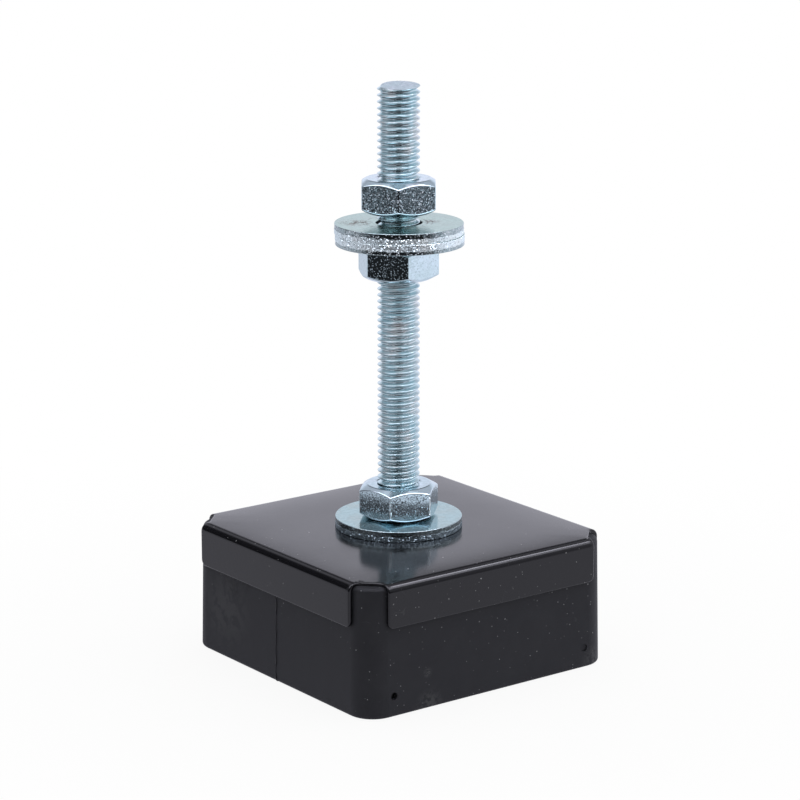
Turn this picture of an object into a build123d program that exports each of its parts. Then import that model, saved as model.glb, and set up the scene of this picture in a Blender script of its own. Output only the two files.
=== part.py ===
from build123d import *
import math
import os

# A rubber levelling mount for the foot of a machine. A moulded rubber block carries a folded
# sheet-metal cap. A threaded stud stands on the cap, held by one nut under the plate and one
# above it, and carries a levelling nut, two large washers and a lock nut.
# Millimetres, +Z up. The origin is the middle of the block's underside.

# Thread of the stud and the nuts
thread_size = 10.0            # nominal diameter
crest_allowance = 0.14        # the crests of the stud's thread measure this much less
running_gap = 0.08            # radial gap between the crests and a nut that runs on them

# Stud
stud_length = 115.9
stud_tail = 2.5               # what stands out below the inner nut
stud_end_chamfer = 0.3

# Hexagon nuts, four alike
nut_across_flats = 17.0
nut_height = 7.9
nut_face_diameter = 15.1      # flat bearing face that the chamfer leaves
nut_chamfer_angle = 30.0
countersink_allowance = 0.4   # radial width of the countersink at each mouth of the bore
base_nut_turn = 42.0          # angle of a corner from +X, in degrees
levelling_nut_turn = 5.5
lock_nut_turn = 53.0
inner_nut_turn = 0.0

# Large washers, three alike
washer_diameter = 30.0
washer_thickness = 2.5
stud_hole = 10.8              # clearance hole for the stud, in the washers and in the cap
washer_bevel = 0.25           # rim drawn in by the punch on one side

# Cap, folded from one sheet with a notch at each corner
sheet = 1.0
cap_side = 72.5
bend_inner_radius = 0.9
flange_depth = 10.6
corner_relief = 6.4           # from where two flanges would meet to the end of a flange
flange_corner_radius = 1.5

# Rubber block
rubber_height = 30.6
rubber_fit = 0.05             # gap to the inside of the flanges, at their lower edge
rubber_draft = 0.9            # degrees, wider towards the underside
rubber_corner_radius = 6.3
rubber_top_bevel = 1.2        # clears the inside of the cap's bends
rubber_bottom_round = 0.8
rubber_squeeze = 3.0          # how far the block gives under its greatest load
pocket_gap = 2.0              # radial gap round the inner nut's corners
pocket_floor_gap = 1.0        # left under the stud when the block is squeezed

# Marks of the mould on the rubber
flash_width = 0.35            # the parting line, a thin raised seam
flash_height = 0.25
flash_end_gap = 0.3           # from the seam's upper end to the edge of the flange
pin_mark_diameter = 1.8
pin_mark_depth = 1.5
pin_mark_spacing = 55.6
pin_mark_height = 4.9

# Where the levelling group stands on the stud
level_height = 67.5           # seat of the washers above the cap
lock_gap = 2.5                # between the upper washer and the lock nut

# Sizes that follow
stud_radius = (thread_size - crest_allowance) / 2
bore_radius = stud_radius + running_gap
bend_outer_radius = bend_inner_radius + sheet
flange_length = cap_side - 2 * corner_relief
nut_corner_reach = nut_across_flats / 2 / math.cos(math.pi / 6)

# Heights that follow, from the underside up
cap_top = rubber_height + sheet
inner_nut_bottom = rubber_height - nut_height
stud_bottom = inner_nut_bottom - stud_tail
base_nut_bottom = cap_top + washer_thickness
washer_seat = cap_top + level_height
levelling_nut_bottom = washer_seat - nut_height
lock_nut_bottom = washer_seat + 2 * washer_thickness + lock_gap
flange_edge = cap_top - flange_depth


def rubber_side(height):
    """Width of the block at a height, with the draft of the mould."""
    side_at_flange_edge = cap_side - 2 * (sheet + rubber_fit)
    return side_at_flange_edge + 2 * (flange_edge - height) * math.tan(math.radians(rubber_draft))


def rubber_seam():
    """The seam that the two halves of the mould leave across two opposite sides."""
    seam_top = flange_edge - flash_end_gap
    low, high = (rubber_side(z) / 2 + flash_height for z in (0, seam_top))
    outline = Polygon((-low, 0), (low, 0), (high, seam_top), (-high, seam_top), align=None)
    return extrude(Plane.XZ * outline, flash_width / 2, both=True)


def pin_marks():
    """Two small blind holes low in the front, where pins of the mould stood."""
    hole = Cylinder(pin_mark_diameter / 2, 2 * pin_mark_depth, rotation=(90, 0, 0))
    face = rubber_side(pin_mark_height) / 2
    return [Pos(side * pin_mark_spacing / 2, -face, pin_mark_height) * hole for side in (-1, 1)]


def inner_nut_pocket():
    """Round pocket for the inner nut and the stud's end, deep enough for the squeeze."""
    depth = rubber_height - stud_bottom + rubber_squeeze + pocket_floor_gap
    pocket = Cylinder(nut_corner_reach + pocket_gap, depth, align=(Align.CENTER, Align.CENTER, Align.MAX))
    return Pos(0, 0, rubber_height) * pocket


def rubber_block():
    block = extrude(Rectangle(rubber_side(0), rubber_side(0)), rubber_height, taper=rubber_draft)
    upright_edges = block.edges().group_by(Axis.Z)[1]
    block = fillet(upright_edges, rubber_corner_radius)
    block = chamfer(block.edges().group_by(Axis.Z)[-1], rubber_top_bevel)
    block = fillet(block.edges().group_by(Axis.Z)[0], rubber_bottom_round)
    return block + rubber_seam() - pin_marks() - inner_nut_pocket()


def cap_flange():
    """One flange with its bend, along the front of the cap."""
    outer = -cap_side / 2
    inner_end = outer + 2 * bend_outer_radius
    section = Polygon(
        (inner_end, cap_top), (outer, cap_top), (outer, flange_edge), (outer + sheet, flange_edge),
        (outer + sheet, rubber_height), (inner_end, rubber_height), align=None)
    outside = section.vertices().sort_by_distance((outer, cap_top, 0))[0]
    section = fillet(outside, bend_outer_radius)
    inside = section.vertices().sort_by_distance((outer + sheet, rubber_height, 0))[0]
    section = fillet(inside, bend_inner_radius)
    flange = extrude(Plane.YZ * section, flange_length / 2, both=True)
    lower_corners = flange.edges().filter_by(Axis.Y).group_by(Axis.Z)[0]
    return fillet(lower_corners, flange_corner_radius)


def cap_plate():
    flat_side = cap_side - 2 * bend_outer_radius
    flat = chamfer(Rectangle(flat_side, flat_side).vertices(), corner_relief - bend_outer_radius)
    plate = Pos(0, 0, rubber_height) * extrude(flat - Circle(stud_hole / 2), sheet)
    return plate + PolarLocations(0, 4) * cap_flange()


def hexagon_nut(bottom, turn):
    """A nut turned to a cone on both faces, with its bore and countersinks."""
    hexagon = RegularPolygon(nut_across_flats / 2, 6, major_radius=False)
    body = extrude(Rot(0, 0, turn) * hexagon, nut_height)

    face = nut_face_diameter / 2
    waist = face + nut_height / 2 / math.tan(math.radians(nut_chamfer_angle))
    cones = Polygon(
        (0, 0), (face, 0), (waist, nut_height / 2), (face, nut_height), (0, nut_height), align=None)
    body = body & revolve(Plane.XZ * cones, Axis.Z)

    mouth = bore_radius + countersink_allowance
    bore_outline = Polygon(
        (0, 0), (mouth, 0), (bore_radius, countersink_allowance),
        (bore_radius, nut_height - countersink_allowance), (mouth, nut_height), (0, nut_height),
        align=None)
    return Pos(0, 0, bottom) * (body - revolve(Plane.XZ * bore_outline, Axis.Z))


def large_washer(bottom, drawn_rim_up=True):
    """A punched washer, its rim bevelled on the side where the punch drew the sheet in."""
    ring = extrude(Circle(washer_diameter / 2) - Circle(stud_hole / 2), washer_thickness)
    drawn_side = ring.edges().group_by(Axis.Z)[-1 if drawn_rim_up else 0]
    drawn_rim = drawn_side.sort_by(SortBy.LENGTH)[-1]
    return Pos(0, 0, bottom) * chamfer(drawn_rim, washer_bevel)


def threaded_stud():
    stud = Cylinder(stud_radius, stud_length, align=(Align.CENTER, Align.CENTER, Align.MIN))
    return Pos(0, 0, stud_bottom) * chamfer(stud.edges().filter_by(GeomType.CIRCLE), stud_end_chamfer)


pieces = {
    "rubber_block": rubber_block(),
    "cap_plate": cap_plate(),
    "threaded_stud": threaded_stud(),
    "inner_nut": hexagon_nut(inner_nut_bottom, inner_nut_turn),
    "base_washer": large_washer(cap_top),
    "base_nut": hexagon_nut(base_nut_bottom, base_nut_turn),
    "levelling_nut": hexagon_nut(levelling_nut_bottom, levelling_nut_turn),
    "lower_washer": large_washer(washer_seat, drawn_rim_up=False),
    "upper_washer": large_washer(washer_seat + washer_thickness),
    "lock_nut": hexagon_nut(lock_nut_bottom, lock_nut_turn),
}

os.makedirs("parts", exist_ok=True)
for name, piece in pieces.items():
    export_step(piece, f"parts/{name}.step")
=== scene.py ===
"""Looks of a rubber levelling mount.

A moulded rubber block carries a folded, black-coated cap. A zinc-plated stud stands on the cap
with its nuts and large washers. Lengths are in metres, +Z is up, and the origin is the middle of
the block's underside.
"""

from __future__ import annotations

import logging
import math
from dataclasses import dataclass
from enum import Enum
from typing import Iterable, Sequence

import bmesh
import bpy
from mathutils import Matrix, Vector, noise

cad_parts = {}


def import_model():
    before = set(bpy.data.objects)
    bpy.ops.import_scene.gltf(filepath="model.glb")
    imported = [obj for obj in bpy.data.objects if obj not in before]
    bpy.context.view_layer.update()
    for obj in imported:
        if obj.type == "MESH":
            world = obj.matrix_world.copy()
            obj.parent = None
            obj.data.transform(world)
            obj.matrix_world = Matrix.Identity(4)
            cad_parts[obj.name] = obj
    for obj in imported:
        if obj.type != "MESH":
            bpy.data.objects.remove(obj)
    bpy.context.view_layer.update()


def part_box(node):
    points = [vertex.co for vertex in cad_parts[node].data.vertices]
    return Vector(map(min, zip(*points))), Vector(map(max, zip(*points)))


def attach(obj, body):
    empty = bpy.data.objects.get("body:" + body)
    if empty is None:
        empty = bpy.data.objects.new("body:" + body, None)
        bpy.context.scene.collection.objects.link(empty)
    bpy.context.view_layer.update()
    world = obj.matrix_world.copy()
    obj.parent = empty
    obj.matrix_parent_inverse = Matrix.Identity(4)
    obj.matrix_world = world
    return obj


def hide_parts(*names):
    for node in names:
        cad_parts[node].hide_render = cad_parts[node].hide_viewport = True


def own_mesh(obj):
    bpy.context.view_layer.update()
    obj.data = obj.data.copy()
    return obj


LOG = logging.getLogger("levelling_mount")

MM = 0.001
CLOSE = 1e-6  # places nearer to each other than this are the same
FULL_TURN = 2 * math.pi
UP = Vector((0.0, 0.0, 1.0))
WHITE = (1.0, 1.0, 1.0)

Colour = tuple[float, float, float]
Socket = bpy.types.NodeSocket
Marked = tuple[Socket, Socket, Socket | None]


# Node trees


class Board:
    """The nodes of one material, world or node group, with short ways to add and join them."""

    def __init__(self, tree: bpy.types.NodeTree) -> None:
        """Take over an empty node tree."""
        self.tree = tree

    def add(self, kind: str, inputs: dict | None = None, **settings: object) -> bpy.types.Node:
        """Add a node, set it and join what feeds it.

        Args:
            kind: Blender's name of the node type.
            inputs: Values or output sockets, by the name or number of the input.
            **settings: Properties of the node itself.

        Returns:
            The node.
        """
        node = self.tree.nodes.new(kind)
        for key, value in settings.items():
            setattr(node, key, value)
        for key, value in (inputs or {}).items():
            if isinstance(value, bpy.types.NodeSocket):
                self.tree.links.new(value, node.inputs[key])
            else:
                node.inputs[key].default_value = value
        return node

    def feed(self, node: bpy.types.Node, name: str, value: Socket) -> None:
        """Join a socket to an input of a node."""
        self.tree.links.new(value, node.inputs[name])

    def math(self, operation: str, first: object, second: object = 0.0, third: object = 0.0) -> Socket:
        """Work out one number from others, each a number or a socket."""
        return self.add("ShaderNodeMath", {0: first, 1: second, 2: third}, operation=operation).outputs[0]

    def vector(self, operation: str, *given: object) -> Socket:
        """Work out one direction from others.

        Args:
            operation: The operation's name.
            *given: Directions as three numbers or sockets, as many as the operation takes.

        Returns:
            The result, which is a number where the operation gives one.
        """
        node = self.add("ShaderNodeVectorMath", dict(enumerate(given)), operation=operation)
        return next(socket for socket in node.outputs if socket.enabled)

    def times(self, *factors: object) -> Socket:
        """Multiply two or more numbers or sockets.

        Args:
            *factors: Numbers or sockets.

        Returns:
            The product.
        """
        product = factors[0]
        for factor in factors[1:]:
            product = self.math("MULTIPLY", product, factor)
        return product

    def plus(self, start: object, pattern: object, amount: object) -> Socket:
        """Add a pattern, times an amount, to a number or socket."""
        return self.math("MULTIPLY_ADD", pattern, amount, third=start)

    def ramp(
        self, value: Socket, low: object, high: object, to_low: float = 0.0, to_high: float = 1.0
    ) -> Socket:
        """Map a range of a value smoothly to another range.

        Args:
            value: The value to map.
            low: Start of the range, a number or a socket.
            high: End of the range, a number or a socket.
            to_low: Result at the start.
            to_high: Result at the end.

        Returns:
            The result.
        """
        node = self.add(
            "ShaderNodeMapRange",
            {"Value": value, "From Min": low, "From Max": high, "To Min": to_low, "To Max": to_high},
            interpolation_type="SMOOTHSTEP",
        )
        return node.outputs["Result"]

    def mix(self, share: object, first: object, second: object) -> Socket:
        """Mix two colours.

        Args:
            share: Share of the second colour, a number or a socket.
            first: The first colour, three numbers or a socket.
            second: The second colour, three numbers or a socket.

        Returns:
            The mixed colour.
        """
        colours = [c if isinstance(c, bpy.types.NodeSocket) else (*c, 1.0) for c in (first, second)]
        inputs = {0: share, 6: colours[0], 7: colours[1]}
        return self.add("ShaderNodeMix", inputs, data_type="RGBA").outputs[2]

    def blend(self, share: object, first: object, second: object) -> Socket:
        """Mix two numbers or sockets, by the share of the second."""
        inputs = {0: share, 2: first, 3: second}
        return self.add("ShaderNodeMix", inputs, data_type="FLOAT").outputs[0]

    def noise(self, where: Socket, scale: object, detail: float = 2.0) -> Socket:
        """Read noise between 0 and 1, with this many waves in a metre and so many finer layers."""
        inputs = {"Vector": where, "Scale": scale, "Detail": detail}
        return self.add("ShaderNodeTexNoise", inputs).outputs["Fac"]

    def cells(self, where: Socket, scale: object) -> bpy.types.bpy_prop_collection:
        """Read a pattern of cells, with this many in a metre, and give its outputs by name."""
        return self.add("ShaderNodeTexVoronoi", {"Vector": where, "Scale": scale}).outputs

    def bump(self, height: Socket, unit: float) -> Socket:
        """Turn a height pattern, whose 1 stands this unit high, into the surface's direction."""
        return self.add("ShaderNodeBump", {"Distance": unit, "Height": height}).outputs["Normal"]

    def place(self) -> Socket:
        """Read the place on the piece."""
        return self.add("ShaderNodeTexCoord").outputs["Object"]

    def effect(self, effect: SharedEffect, **inputs: object) -> Socket:
        """Place a shared effect with its values or sockets by name, and give its output."""
        return self.add("ShaderNodeGroup", inputs, node_tree=effect.tree()).outputs[0]

    def clouds(self, where: Socket, size: float, cover: float, softness: float) -> Socket:
        """Place soft patches of a size, which cover a share of the surface."""
        return self.effect(SharedEffect.CLOUDS, Place=where, Size=size, Cover=cover, Softness=softness)


class SharedEffect(Enum):
    """Effects that more than one finish uses, each a node group that is built once."""

    GRAIN = "fine_grain"
    SPECKS = "dust_specks"
    CLOUDS = "soft_clouds"
    SCUFFS = "hair_scuffs"
    CRYSTALS = "tilted_crystals"

    def tree(self) -> bpy.types.NodeTree:
        """Give the effect's node group, and build it the first time.

        Returns:
            The node group.
        """
        made = bpy.data.node_groups.get(self.value)
        if made is None:
            made = bpy.data.node_groups.new(self.value, "ShaderNodeTree")
            {
                SharedEffect.GRAIN: build_grain,
                SharedEffect.SPECKS: build_specks,
                SharedEffect.CLOUDS: build_clouds,
                SharedEffect.SCUFFS: build_scuffs,
                SharedEffect.CRYSTALS: build_crystals,
            }[self](made)
        return made


def open_group(
    tree: bpy.types.NodeTree, inputs: dict[str, float | None], output: str, direction: bool = False
) -> tuple[Board, dict[str, Socket], bpy.types.Node]:
    """Give a node group its named sockets.

    Args:
        tree: The group.
        inputs: The name of each input with its value, or None for a place.
        output: The name of the output.
        direction: True if the output is a direction, not a number.

    Returns:
        The board, the input sockets by name, and the node that the output goes to.
    """
    for name, value in inputs.items():
        kind = "NodeSocketVector" if value is None else "NodeSocketFloat"
        socket = tree.interface.new_socket(name=name, in_out="INPUT", socket_type=kind)
        if value is not None:
            socket.default_value = value
    kind = "NodeSocketVector" if direction else "NodeSocketFloat"
    tree.interface.new_socket(name=output, in_out="OUTPUT", socket_type=kind)
    board = Board(tree)
    entry = board.add("NodeGroupInput")
    return board, {name: entry.outputs[name] for name in inputs}, board.add("NodeGroupOutput")


def build_grain(tree: bpy.types.NodeTree) -> None:
    """Build the grain of a pressed or coated surface, as a height between 0 and 1.

    Args:
        tree: The empty node group.
    """
    board, given, out = open_group(tree, {"Place": None, "Size": 0.0003, "Finer": 0.5}, "Height")
    scale = board.math("DIVIDE", 1.0, given["Size"])
    inputs = {"Vector": given["Place"], "Scale": scale}
    cells = board.add("ShaderNodeTexVoronoi", inputs, feature="SMOOTH_F1").outputs
    fine_scale = board.times(scale, 1.7)
    fine = board.noise(given["Place"], fine_scale)
    coarse = board.times(cells["Distance"], board.math("SUBTRACT", 1.0, given["Finer"]))
    board.feed(out, "Height", board.plus(coarse, fine, given["Finer"]))


def build_specks(tree: bpy.types.NodeTree) -> None:
    """Build ragged specks of dust, as a mask between 0 and 1.

    Args:
        tree: The empty node group.
    """
    raggedness, smallest, faintest = 0.16, 0.35, 0.25
    inputs = {"Place": None, "Spacing": 0.002, "Width": 0.1, "Share": 0.2}
    board, given, out = open_group(tree, inputs, "Mask")
    scale = board.math("DIVIDE", 1.0, given["Spacing"])
    ragged_scale = board.times(scale, 6.0)
    inputs = {"Vector": given["Place"], "Scale": ragged_scale}
    ragged = board.add("ShaderNodeTexNoise", inputs).outputs["Color"]
    reach = board.times(given["Spacing"], raggedness)
    shift = board.add("ShaderNodeVectorMath", {0: ragged, "Scale": reach}, operation="SCALE").outputs[0]
    cells = board.cells(board.vector("ADD", given["Place"], shift), scale)
    chance = board.add("ShaderNodeSeparateColor", {"Color": cells["Color"]}).outputs
    kept = board.math("LESS_THAN", chance["Red"], given["Share"])
    width = board.times(given["Width"], board.ramp(chance["Green"], 0.0, 1.0, smallest, 1.0))
    inside = board.math("SUBTRACT", width, cells["Distance"])
    speck = board.ramp(inside, 0.0, board.times(width, 0.5))
    strength = board.ramp(chance["Blue"], 0.0, 1.0, faintest, 1.0)
    board.feed(out, "Mask", board.times(speck, kept, strength))


def build_clouds(tree: bpy.types.NodeTree) -> None:
    """Build soft uneven patches, as a mask between 0 and 1.

    Args:
        tree: The empty node group.
    """
    inputs = {"Place": None, "Size": 0.006, "Cover": 0.5, "Softness": 0.15}
    board, given, out = open_group(tree, inputs, "Mask")
    scale = board.math("DIVIDE", 1.0, given["Size"])
    inputs = {"Vector": given["Place"], "Scale": scale, "Detail": 4.0, "Roughness": 0.6}
    clouds = board.add("ShaderNodeTexNoise", inputs).outputs["Fac"]
    middle = board.math("SUBTRACT", 1.0, given["Cover"])
    low = board.math("SUBTRACT", middle, given["Softness"])
    high = board.math("ADD", middle, given["Softness"])
    board.feed(out, "Mask", board.ramp(clouds, low, high))


def build_scuffs(tree: bpy.types.NodeTree) -> None:
    """Build short thin scuffs and hairs, as a mask between 0 and 1.

    Args:
        tree: The empty node group.
    """
    inputs = {"Place": None, "Spacing": 0.004, "Thinness": 0.02, "Share": 0.3}
    board, given, out = open_group(tree, inputs, "Mask")
    scale = board.math("DIVIDE", 1.0, given["Spacing"])
    lines = board.noise(given["Place"], scale, 1.0)
    off_line = board.math("ABSOLUTE", board.math("SUBTRACT", lines, 0.5))
    near = board.ramp(off_line, 0.0, given["Thinness"], 1.0, 0.0)
    gate_scale = board.times(scale, 1.3)
    gate = board.noise(given["Place"], gate_scale)
    low = board.math("SUBTRACT", 1.0, given["Share"])
    board.feed(out, "Mask", board.times(near, board.ramp(gate, low, board.math("ADD", low, 0.08))))


def build_crystals(tree: bpy.types.NodeTree) -> None:
    """Build fine crystals, most of them level and a few tilted far, as the surface's direction.

    Args:
        tree: The empty node group.
    """
    inputs = {"Place": None, "Size": 0.0003, "Tilt": 0.5, "Cover": 1.0}
    board, given, out = open_group(tree, inputs, "Normal", direction=True)
    cells = board.cells(given["Place"], board.math("DIVIDE", 1.0, given["Size"]))
    lean = board.vector("MULTIPLY_ADD", cells["Color"], (2, 2, 2), (-1, -1, -1))
    square = board.vector("MULTIPLY", lean, lean)
    lean = board.vector("MULTIPLY", board.vector("MULTIPLY", square, square), lean)
    reach = board.times(given["Tilt"], given["Cover"])
    level = board.add("ShaderNodeNewGeometry").outputs["Normal"]
    tilted = board.vector("MULTIPLY_ADD", lean, reach, level)
    board.feed(out, "Normal", board.vector("NORMALIZE", tilted))


# Finishes


@dataclass(frozen=True)
class Finish:
    """What a surface is finished with. Each finish becomes one material.

    Attributes:
        name: The finish's name.
    """

    name: str

    def material(self) -> bpy.types.Material:
        """Give the finish's material, which is built the first time.

        Returns:
            The material.
        """
        if self.name not in MATERIALS:
            MATERIALS[self.name], board, shader = new_material(self.name)
            self.dress(board, shader)
        return MATERIALS[self.name]

    def dress(self, board: Board, shader: bpy.types.Node) -> None:
        """Lay out the finish.

        Args:
            board: The material's board.
            shader: The material's shader.
        """
        raise NotImplementedError


@dataclass(frozen=True)
class Stain:
    """A stain or smudge on a surface.

    Attributes:
        at: Its middle on the piece.
        reach: How far it spreads.
        strength: How much of it shows.
    """

    at: tuple[float, float, float]
    reach: float
    strength: float

    def mask(self, board: Board, where: Socket) -> Socket:
        """Mark where the stain lies on the piece, as a mask of small dabs."""
        near = board.ramp(board.vector("DISTANCE", where, self.at), 0.1 * self.reach, self.reach, 1.0, 0.0)
        return board.times(near, board.clouds(where, 0.2 * self.reach, 0.52, 0.08), self.strength)


@dataclass(frozen=True)
class ZincPlating(Finish):
    """Bright bluish zinc plating on steel.

    Attributes:
        tint: Main colour of the plating.
        sheen: Colour of its paler patches.
        patch: Width of a patch.
        cloud: Width of a finer, darker cloud.
        cloud_share: How much of the darker colour a cloud holds.
        cloud_dark: How much of the main colour's brightness the darker one has.
        roughness: How dull it is.
        uneven: How much its dullness changes over the surface.
        grain_size: Width of a grain of the steel below.
        grain_height: Height of a grain.
        edge_tint: Colour that its reflections take on where they graze it.
    """

    tint: Colour = (0.58, 0.72, 0.76)
    sheen: Colour = (0.66, 0.70, 0.78)
    patch: float = 5 * MM
    cloud: float = 0.9 * MM
    cloud_share: float = 0.45
    cloud_dark: float = 0.85
    roughness: float = 0.2
    uneven: float = 0.1
    grain_size: float = 0.3 * MM
    grain_height: float = 0.006 * MM
    edge_tint: Colour = (0.92, 0.95, 0.97)

    def dress(self, board: Board, shader: bpy.types.Node) -> None:
        """Lay out the plating's colour, its dullness and its grain.

        Args:
            board: The material's board.
            shader: The material's shader.
        """
        where = board.place()
        patches = board.clouds(where, self.patch, 0.42, 0.2)
        colour = board.mix(patches, self.tint, self.sheen)
        clouds = board.clouds(where, self.cloud, 0.5, 0.3)
        darker = tuple(self.cloud_dark * part for part in self.tint)
        colour = board.mix(board.times(clouds, self.cloud_share), colour, darker)
        dull = board.plus(self.roughness - self.uneven / 2, clouds, self.uneven)
        colour, dull, metal = self.marks(board, where, colour, dull)
        board.feed(shader, "Base Color", colour)
        board.feed(shader, "Roughness", dull)
        board.feed(shader, "Normal", self.surface_direction(board, where))
        if metal is None:
            shader.inputs["Metallic"].default_value = 1.0
        else:
            board.feed(shader, "Metallic", metal)
        shader.inputs["Specular Tint"].default_value = (*self.edge_tint, 1.0)

    def marks(self, board: Board, where: Socket, colour: Socket, dull: Socket) -> Marked:
        """Lay marks over the plating. The plain plating has none.

        Args:
            board: The material's board.
            where: The place on the piece.
            colour: Colour of the plating.
            dull: Dullness of the plating.

        Returns:
            The colour and the dullness with the marks, and how much metal shows, or None for all of it.
        """
        return colour, dull, None

    def surface_direction(self, board: Board, where: Socket) -> Socket:
        """Give the surface its fine grain.

        Args:
            board: The material's board.
            where: The place on the piece.

        Returns:
            The surface's direction.
        """
        grain = board.effect(SharedEffect.GRAIN, Place=where, Size=self.grain_size, Finer=0.5)
        return board.bump(grain, self.grain_height)


@dataclass(frozen=True)
class PressedFlat(ZincPlating):
    """The rough flat of a cold-formed nut, whose steel crystals sparkle through the plating, from their tilt
    and from painted glints.

    Attributes:
        crystal: Width of a crystal.
        tilt: How far the crystals lean.
        mottle: How much the crystals differ in tone, and how strong their painted glints are.
        dark: Colour of the darkest crystals.
        bright: Colour of the painted glints, near-white, on a few crystals.
        patch_reach: Width of the patches in which the crystals lean more.
    """

    tint: Colour = (0.64, 0.85, 0.90)
    sheen: Colour = (0.70, 0.84, 0.90)
    crystal: float = 0.2 * MM
    tilt: float = 0.28
    mottle: float = 0.5
    dark: Colour = (0.12, 0.16, 0.18)
    bright: Colour = (0.95, 0.98, 1.0)
    patch_reach: float = 2.2 * MM

    def marks(self, board: Board, where: Socket, colour: Socket, dull: Socket) -> Marked:
        """Let the crystals differ in tone, and paint near-white glints on a few of them.

        Args:
            board: The material's board.
            where: The place on the piece.
            colour: Colour of the plating.
            dull: Dullness of the plating.

        Returns:
            The colour and the dullness with the marks, and how much metal shows, or None for all of it.
        """
        crystals = board.cells(where, 1 / self.crystal)["Color"]
        chance = board.add("ShaderNodeSeparateColor", {"Color": crystals}).outputs["Blue"]
        colour = board.mix(board.times(chance, self.mottle), colour, self.dark)
        # Painted glint: a few crystals take a near-white colour that stands in for their sparkle.
        painted_glint = board.times(board.ramp(chance, 0.25, 0.0), self.mottle)
        return board.mix(painted_glint, colour, self.bright), dull, None

    def surface_direction(self, board: Board, where: Socket) -> Socket:
        """Tilt the crystals."""
        cover = board.plus(0.6, board.clouds(where, self.patch_reach, 0.6, 0.3), 0.5)
        return board.effect(
            SharedEffect.CRYSTALS, Place=where, Size=self.crystal, Tilt=self.tilt, Cover=cover
        )


@dataclass(frozen=True)
class HandledSheet(ZincPlating):
    """Plated sheet that was stacked and handled, with stains and the rings that nuts leave.

    Attributes:
        stains: Brownish stains on it.
        stain_colour: Colour of the stains.
        rings: Radii of the rings.
        ring_colour: Colour of the rings.
        ring_strength: How much of the plating a ring covers.
    """

    tint: Colour = (0.50, 0.62, 0.61)
    sheen: Colour = (0.50, 0.55, 0.56)
    edge_tint: Colour = (0.70, 0.76, 0.72)
    stains: tuple[Stain, ...] = ()
    stain_colour: Colour = (0.10, 0.06, 0.04)
    rings: tuple[float, ...] = (6.7 * MM, 7.9 * MM)
    ring_colour: Colour = (0.06, 0.065, 0.07)
    ring_strength: float = 0.85

    def marks(self, board: Board, where: Socket, colour: Socket, dull: Socket) -> Marked:
        """Lay stains and rings over the plating.

        Args:
            board: The material's board.
            where: The place on the piece.
            colour: Colour of the plating.
            dull: Dullness of the plating.

        Returns:
            The colour and the dullness with the marks, and how much metal shows, or None for all of it.
        """
        away = board.vector("LENGTH", board.vector("MULTIPLY", where, (1, 1, 0)))
        patches = board.clouds(where, 3 * MM, 0.45, 0.1)
        covered: object = 0.0
        for radius in self.rings:
            off = board.math("ABSOLUTE", board.math("SUBTRACT", away, radius))
            ring = board.times(board.ramp(off, 0.05 * MM, 0.2 * MM, 1.0, 0.0), patches, self.ring_strength)
            covered = board.math("MAXIMUM", covered, ring)
        colour = board.mix(covered, colour, self.ring_colour)
        for stain in self.stains:
            mask = stain.mask(board, where)
            covered = board.math("MAXIMUM", covered, mask)
            colour = board.mix(mask, colour, self.stain_colour)
        return colour, board.plus(dull, covered, 0.3), board.math("SUBTRACT", 1.0, covered)


@dataclass(frozen=True)
class BrokenSteel(ZincPlating):
    """The rough band of a punched rim, where the steel broke.

    Attributes:
        crystal: Width of a torn crystal.
        tilt: How far the crystals lean.
    """

    tint: Colour = (0.86, 0.98, 1.0)
    sheen: Colour = (0.92, 0.97, 0.93)
    roughness: float = 0.42
    crystal: float = 0.25 * MM
    tilt: float = 0.85

    def surface_direction(self, board: Board, where: Socket) -> Socket:
        """Tilt the torn crystals."""
        return board.effect(SharedEffect.CRYSTALS, Place=where, Size=self.crystal, Tilt=self.tilt)


@dataclass(frozen=True)
class PaintedShadeHoleWall(ZincPlating):
    """The wall of a punched hole, with painted shade: a near-black colour that stands in for the shade inside
    the deep hole.
    """

    tint: Colour = (0.07, 0.08, 0.085)
    sheen: Colour = (0.05, 0.055, 0.06)
    roughness: float = 0.5


@dataclass(frozen=True)
class BlackCoating(Finish):
    """Satin black coating on the folded cap.

    Attributes:
        colour: Colour of the coating.
        dust: Colour of the dust on it.
        dust_share: Share of the dust pattern's cells that hold a speck.
        dust_strength: How much of the coating a speck covers.
        roughness: How dull it is.
        film: How much its dullness changes over the surface.
        orange_peel: Height of the coating's soft waves.
        wave: Width of a wave.
        clear_index: Refractive index of the coating.
    """

    name: str = "satin_black_coating"
    colour: Colour = (0.004, 0.004, 0.0055)
    dust: Colour = (0.5, 0.5, 0.52)
    dust_share: float = 0.28
    dust_strength: float = 0.75
    roughness: float = 0.155
    film: float = 0.05
    orange_peel: float = 0.006 * MM
    wave: float = 1.1 * MM
    clear_index: float = 1.4

    def dress(self, board: Board, shader: bpy.types.Node) -> None:
        """Lay out the coating with its dust, its film and its soft waves.

        Args:
            board: The material's board.
            shader: The material's shader.
        """
        where = board.place()
        specks = board.times(dust_and_scuffs(board, where, self.dust_share), self.dust_strength)
        film = board.clouds(where, 12 * MM, 0.5, 0.3)
        dull = board.plus(self.roughness - self.film / 2, film, self.film)
        board.feed(shader, "Base Color", board.mix(specks, self.colour, self.dust))
        board.feed(shader, "Roughness", board.plus(dull, specks, 0.4))
        board.feed(shader, "Normal", board.bump(board.noise(where, 1 / self.wave), self.orange_peel))
        shader.inputs["IOR"].default_value = self.clear_index


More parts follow.
